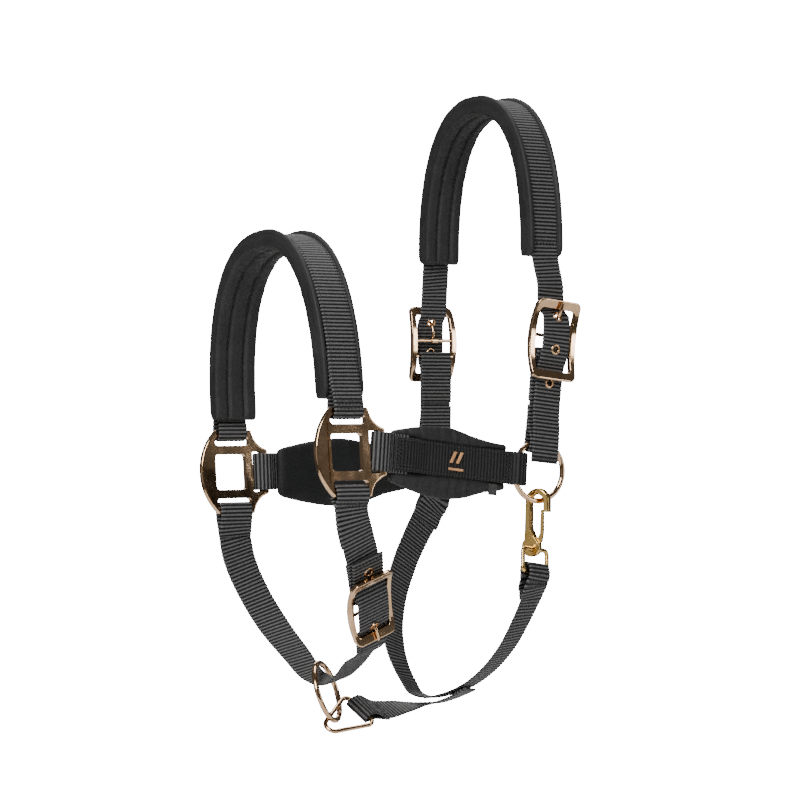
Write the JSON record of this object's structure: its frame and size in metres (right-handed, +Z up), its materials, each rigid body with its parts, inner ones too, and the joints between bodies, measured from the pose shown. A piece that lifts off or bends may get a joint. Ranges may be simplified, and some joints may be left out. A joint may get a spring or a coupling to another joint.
{
  "type": "padded webbing headcollar",
  "caption": "Padded nylon webbing halter for a horse's head, with noseband, crown, cheek pieces, chin and throat straps, buckles, rings and a throat snap.",
  "frame": {"origin": "middle of the inner face of the crown pad, where it rests behind the ears", "axes": "+X from the nose back to the ears, +Y to the far side, +Z up; the near side with the throat snap faces -Y"},
  "size_m": [0.2415, 0.1918, 0.4943],
  "materials": {
    "black_webbing": "ribbed nylon",
    "black_padding": "woven cover",
    "foam": "foam filling",
    "rose_gold": "satin plated",
    "brass": "polished",
    "eyelet_brass": "polished",
    "motif_thread": "embroidered",
    "tag_cloth": "woven tag"
  },
  "bodies": {
    "headcollar": {"noseband_webbing": "black_webbing", "noseband_pad_cover": "black_padding", "noseband_pad_foam": "foam", "crown_webbing": "black_webbing", "crown_pad_cover": "black_padding", "crown_pad_foam": "foam", "near_square": "rose_gold", "far_square": "rose_gold", "near_cheek_front_loop": "black_webbing", "far_cheek_front_loop": "black_webbing", "near_cheek_webbing": "black_webbing", "far_cheek_webbing": "black_webbing", "near_cheek_pad_cover": "black_padding", "near_cheek_pad_foam": "foam", "far_cheek_pad_cover": "black_padding", "far_cheek_pad_foam": "foam", "near_crown_buckle_frame": "rose_gold", "far_crown_buckle_frame": "rose_gold", "near_crown_tongue_bar": "rose_gold", "far_crown_tongue_bar": "rose_gold", "near_crown_buckle_strap": "black_webbing", "far_crown_buckle_strap": "black_webbing", "near_crown_eyelets": "eyelet_brass", "far_crown_eyelets": "eyelet_brass", "noseband_buckle_frame": "rose_gold", "noseband_tongue_bar": "rose_gold", "noseband_buckle_strap": "black_webbing", "chin_strap": "black_webbing", "chin_strap_eyelets": "eyelet_brass", "connecting_strap": "black_webbing", "throat_strap": "black_webbing", "cheek_tag": "tag_cloth", "cheek_motif": "motif_thread"},
    "near_ring": {"near_cheek_ring": "rose_gold"},
    "far_ring": {"far_cheek_ring": "rose_gold"},
    "chin_ring": {"chin_ring": "rose_gold"},
    "chin_link": {"chin_link": "rose_gold"},
    "near_tongue": {"near_crown_tongue": "rose_gold"},
    "far_tongue": {"far_crown_tongue": "rose_gold"},
    "noseband_tongue": {"noseband_tongue": "rose_gold"},
    "throat_snap": {"snap_body": "brass", "snap_eye": "brass", "snap_gate_pin": "brass"},
    "snap_gate": {"snap_gate": "brass"}
  },
  "joints": [
    {"name": "near_ring_spin", "type": "hinge", "parent": "headcollar", "child": "near_ring", "pos_m": [-0.009, -0.0797, -0.281], "axis": [0, 1, 0], "continuous": true},
    {"name": "far_ring_spin", "type": "hinge", "parent": "headcollar", "child": "far_ring", "pos_m": [0.002, 0.0797, -0.281], "axis": [0, 1, 0], "continuous": true},
    {"name": "chin_ring_spin", "type": "hinge", "parent": "headcollar", "child": "chin_ring", "pos_m": [-0.1474, 0.006, -0.4505], "axis": [0.6315, -0.7086, 0.3148], "continuous": true},
    {"name": "chin_link_swing", "type": "hinge", "parent": "headcollar", "child": "chin_link", "pos_m": [-0.1195, 0.002, -0.4654], "axis": [0.3382, -0.7354, -0.5873], "range_deg": [-2, 2]},
    {"name": "near_tongue_hinge", "type": "hinge", "parent": "headcollar", "child": "near_tongue", "pos_m": [0.00232, -0.082, -0.17702], "axis": [0.9941, 0, -0.1083], "range_deg": [0, 1.5]},
    {"name": "far_tongue_hinge", "type": "hinge", "parent": "headcollar", "child": "far_tongue", "pos_m": [0.002, 0.082, -0.177], "axis": [-1, 0, 0], "range_deg": [0, 1.5]},
    {"name": "noseband_tongue_hinge", "type": "hinge", "parent": "headcollar", "child": "noseband_tongue", "pos_m": [-0.15715, -0.06989, -0.38031], "axis": [-0.9379, -0.002, -0.347], "range_deg": [0, 2]},
    {"name": "throat_snap_swing", "type": "hinge", "parent": "headcollar", "child": "throat_snap", "pos_m": [-0.009, -0.0797, -0.3038], "axis": [1, 0, 0], "range_deg": [-1.5, 1.5]},
    {"name": "snap_gate_hinge", "type": "hinge", "parent": "throat_snap", "child": "snap_gate", "pos_m": [-0.01225, -0.07407, -0.3333], "axis": [-0.866, -0.5, 0], "range_deg": [0, 12], "stiffness_Nm_per_rad": 0.02, "springref_deg": -5.73}
  ]
}
